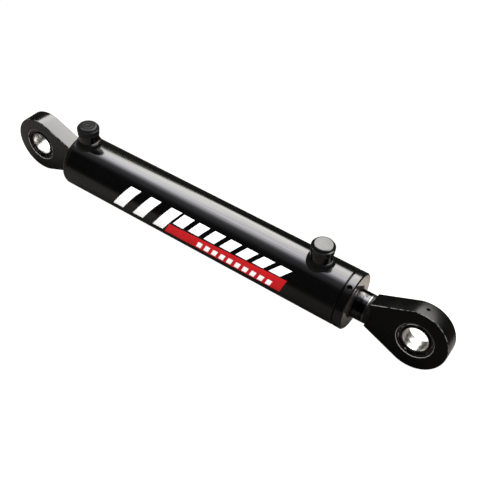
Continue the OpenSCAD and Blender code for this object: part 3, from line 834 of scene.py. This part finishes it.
def build_rod_eye_weld():
    """Bead in the rod's bevel that laps on to the eye plate."""
    bm = bmesh.new()
    ripple = scallop(44, 0.3)
    toe, lap = (ROD_R, ROD_END - ROD_BEVEL), (ROD_R - 4.2 * MM, ROD_END + 5 * MM)

    def relief(radius, height, angle):
        t = (height - toe[1]) / (lap[1] - toe[1])
        if not 0.02 < t < 0.98 or radius < lap[0] + 0.02 * MM:
            return radius, height
        return radius + math.sin(math.pi * t) * 0.4 * MM * (ripple(angle / (2 * math.pi), t) - 0.6), height

    inner_r, back = ROD_R - 9 * MM, ROD_END - 0.02 * MM
    outline = [(inner_r, lap[1]), (inner_r, back), (ROD_R - ROD_BEVEL, back)]
    outline += crowned(toe, lap, (0.88, 0.46), 1 * MM, 14)
    lathe(bm, outline, segments=528, relief=relief)
    publish("rod_eye_weld_bead", bm, [ROD_EYE_WELD], "rod", ["rod_eye_weld"], sharp=55)


# ---------------------------------------------------------------- decal

def border(sheet):
    """Points round the edge of a sheet, which is a list of rows."""
    right = [row[-1] for row in sheet[:-1]]
    left = [row[0] for row in sheet[:0:-1]]
    return sheet[0][:-1] + right + sheet[-1][:0:-1] + left


def wrap(bm, corners, lift=0.12 * MM, columns=6, rows_up=14):
    """Thin film on the tube; the corners of its patch are (x in mm, degrees from +Y over the top)."""
    a, b, c, d = [Vector(p) for p in corners]
    sheets = []
    for radius in (TUBE_R + lift, TUBE_R - 0.05 * MM):
        rows = []
        for i in range(rows_up + 1):
            t = i / rows_up
            left, right = a.lerp(d, t), b.lerp(c, t)
            row = []
            for j in range(columns + 1):
                p = left.lerp(right, j / columns)
                angle = math.radians(p.y)
                row.append((p.x * MM, radius * math.cos(angle), radius * math.sin(angle)))
            rows.append(row)
        sheets.append(grid(bm, rows, wrap_points=False))
    top, under = [border(sheet) for sheet in sheets]
    for j in range(len(top)):
        k = (j + 1) % len(top)
        bm.faces.new([top[j], top[k], under[k], under[j]])


def slanted(bm, x, width, slant, low_edge, high_edge, lift=0.12 * MM):
    """One plain bar that leans by slant towards the rod end as it rises."""
    wrap(bm, [(x, low_edge), (x + width, low_edge),
              (x + width + slant, high_edge), (x + slant, high_edge)], lift)


def build_decal():
    """Generic trim: slanted white bars over a red stripe with white dashes, and no lettering."""
    bm = bmesh.new()
    for i in range(3):
        slanted(bm, 160 + i * 34, width=17, slant=24, low_edge=190, high_edge=135)
    for i in range(7):
        slanted(bm, 261 + i * 24.5, width=16.5, slant=12, low_edge=163 - i * 1.2, high_edge=136)
    publish("decal_white_bars", bm, [WHITE_FILM], "barrel", sharp=60)
    bm = bmesh.new()
    wrap(bm, [(248, 193), (428, 190), (435, 157), (256, 168)], columns=60)
    publish("decal_red_stripe", bm, [RED_FILM], "barrel", sharp=60)
    bm = bmesh.new()
    for i in range(10):
        slanted(bm, 300 + i * 11.8, width=7, slant=4, low_edge=187.5, high_edge=173, lift=0.2 * MM)
    publish("decal_white_dashes", bm, [WHITE_FILM], "barrel", sharp=60)


# ---------------------------------------------------------------- inside parts keep their CAD shape

INSIDE = {
    "gland_oring": NITRILE, "gland_backup_ring": BACKUP_PLASTIC, "rod_wear_band": GUIDE_PLASTIC,
    "rod_seal": POLYURETHANE, "piston": MACHINED, "piston_nut": ZINC, "piston_oring": NITRILE,
    "piston_seal": SEAL_PLASTIC, "piston_seal_energizer": NITRILE,
    "piston_guide_ring_rear": GUIDE_PLASTIC, "piston_guide_ring_front": GUIDE_PLASTIC,
}


def dress_inside():
    """Gives the pieces that no view can reach their materials."""
    for node, mat in INSIDE.items():
        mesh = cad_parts[node].data
        mesh.materials.clear()
        mesh.materials.append(mat)


# ---------------------------------------------------------------- build everything

build_barrel()
build_end_cap()
build_end_cap_weld()
for end, (port_x, cap_body) in PORTS.items():
    build_port_boss(end, port_x)
    build_port_weld(end, port_x)
    build_dust_cap(end, port_x, cap_body)
build_gland()
build_wiper()

CAP_EYE_PLACE = Matrix.Identity(4)
ROD_EYE_PLACE = (Matrix.Translation((PIN_TO_PIN, 0, 0)) @ Matrix.Rotation(ROD_EYE_TURN, 4, "X")
                 @ Matrix.Diagonal((-1, 1, 1, 1)))
build_eye("cap_eye_plate", "cap_eye", CAP_EYE_PLACE, "barrel", CAP_EYE_REACH, EYE_PAINT, grease=False)
build_eye("rod_eye_plate", "rod_eye", ROD_EYE_PLACE, "rod", ROD_EYE_REACH, ROD_EYE_PAINT, grease=True)
for side, place, body, ball_body in (("cap", CAP_EYE_PLACE, "barrel", "cap_ball"),
                                     ("rod", ROD_EYE_PLACE, "rod", "rod_ball")):
    build_race(f"{side}_eye_race_ring", f"{side}_eye_race", place, body)
    build_clips(f"{side}_eye_retaining_rings", f"{side}_eye_circlips", place, body)
    build_ball(f"{side}_eye_bearing_ball", f"{side}_eye_ball", place, ball_body)
build_cap_eye_weld()
build_rod()
build_rod_eye_weld()
build_decal()
dress_inside()


# ---------------------------------------------------------------- floor, light and camera

FLOOR_Z = cad_box[0].z


def camera_only(tree):
    """1 on what the camera sees directly, 0 on what reflections and bounced light see."""
    return tree.nodes.new("ShaderNodeLightPath").outputs["Is Camera Ray"]


def build_floor():
    """White floor that glows evenly to the camera and is dim in reflections, as a table under a cut-out is,
    with painted light and shade by place for the reflections to show.
    """
    bm = bmesh.new()
    tile = 1.5
    rows = [[(x * tile, y * tile, FLOOR_Z) for x in range(-4, 5)] for y in range(-4, 5)]
    grid(bm, rows, wrap_points=False)
    mat, tree, shader = new_material("pale_paper", Roughness=0.9, Specular_IOR_Level=0.0,
                                     Emission_Color=grey(1))
    x, y, _ = split(tree, placed(tree))
    fibre = remap(tree, noise(tree, placed(tree), 40, 4.0), 0.3, 0.7, 0.94, 1.06)
    # painted light and shade that the gloss mirrors, by place on the floor: lighter towards the cap end, a
    # painted pool of light just behind the rod end, painted shade further behind and far in front
    painted_light_towards_cap_end = remap(tree, x, -0.1, 0.6, 0.1, 0.055)
    painted_light_behind_rod_end = maths(tree, "MULTIPLY", remap(tree, y, 0.015, 0.05, 0.0, 0.135),
                    remap(tree, x, 0.48, 0.53, 0.0, 1.0))
    # painted shade: the floor darkens behind the cylinder and far in front of it
    reach = maths(tree, "MULTIPLY", remap(tree, y, 0.07, 0.12, 1.0, 0.12),
                  remap(tree, y, -0.45, -0.1, 0.1, 1.0))
    # only the fibre is the paper's own; the rest of this tone is painted light and shade
    tone = maths(tree, "MULTIPLY", maths(tree, "ADD", painted_light_towards_cap_end, painted_light_behind_rod_end), reach, fibre)
    tree.links.new(mixed(tree, tone, grey(0), (1.08, 1, 0.9, 1)), shader.inputs["Base Color"])
    tree.links.new(camera_only(tree), shader.inputs["Emission Strength"])
    floor = linked("studio_floor", bm, [mat])


def build_fill():
    """Large soft fill from the front for matt surfaces, which leaves no shape in the gloss."""
    data = bpy.data.lights.new("front_fill", "AREA")
    data.shape = "RECTANGLE"
    data.size, data.size_y = 3.0, 2.0
    data.energy = 6.0 * math.pi * data.size * data.size_y
    lamp = bpy.data.objects.new("front_fill", data)
    lamp.location = (0.3, -2.6, 1.0)
    lamp.rotation_mode = "QUATERNION"
    lamp.rotation_quaternion = (lamp.location - Vector((0.3, 0, 0))).to_track_quat("Z", "Y")
    lamp.visible_camera = False
    lamp.visible_glossy = False
    bpy.context.scene.collection.objects.link(lamp)


def build_world():
    """Overhead softbox behind the cylinder, drawn in the sky by its slopes x/z and y/z, in a dim room."""
    softbox, dim_room, backdrop = 10.5, 0.025, 0.95
    world = bpy.data.worlds.new("studio")
    bpy.context.scene.world = world
    world.use_nodes = True
    tree = world.node_tree
    background = tree.nodes["Background"]
    coords = tree.nodes.new("ShaderNodeTexCoord")
    x, y, z = split(tree, coords.outputs["Generated"])
    height = maths(tree, "MAXIMUM", z, 0.001)
    along, across = maths(tree, "DIVIDE", x, height), maths(tree, "DIVIDE", y, height)
    near = maths(tree, "ADD", remap(tree, across, -0.15, 0.35, 0.0, 0.95),
                 remap(tree, across, -0.7, -0.1, 0.0, 0.05))
    slanted_across = maths(tree, "ADD", across, maths(tree, "MULTIPLY", along, 0.4))
    far = remap(tree, slanted_across, 1.15, 2.0, 1.0, 0.0)
    ends = maths(tree, "MULTIPLY", remap(tree, along, -1.0, -0.86, 0.0, 1.0),
                 remap(tree, along, 1.0, 1.6, 1.0, 0.0))
    above = remap(tree, z, 0.0, 0.02, 0.0, 1.0)
    glow = maths(tree, "MULTIPLY", near, far, ends, above, softbox)
    path = camera_only(tree)
    strength = tree.nodes.new("ShaderNodeMix")
    tree.links.new(path, strength.inputs["Factor"])
    tree.links.new(maths(tree, "ADD", glow, dim_room), strength.inputs["A"])
    strength.inputs["B"].default_value = backdrop
    tree.links.new(strength.outputs["Result"], background.inputs["Strength"])
    tint = mixed(tree, remap(tree, across, 0.3, 0.7, 0.0, 1.0),
                 (0.975, 0.98, 1.035, 1), (1.015, 1.0, 0.96, 1))
    tree.links.new(mixed(tree, path, tint, grey(1)), background.inputs["Color"])


def build_camera():
    """The photograph's view, by its azimuth, elevation, roll and distance."""
    azimuth, elevation, roll = math.radians(30.9), math.radians(44.1), math.radians(4.97)
    target, distance = Vector((0.3388, 0.0066, -0.0052)), 1.013
    back = Vector((math.sin(azimuth) * math.cos(elevation), -math.cos(azimuth) * math.cos(elevation),
                   math.sin(elevation)))
    data = bpy.data.cameras.new("camera")
    data.lens = 57.93
    camera = bpy.data.objects.new("camera", data)
    camera.location = target + back * distance
    camera.rotation_mode = "QUATERNION"
    camera.rotation_quaternion = back.to_track_quat("Z", "Y") @ Quaternion((0, 0, 1), roll)
    bpy.context.scene.collection.objects.link(camera)
    bpy.context.scene.camera = camera


build_floor()
build_fill()
build_world()
build_camera()
bpy.context.scene.view_settings.view_transform = "Standard"
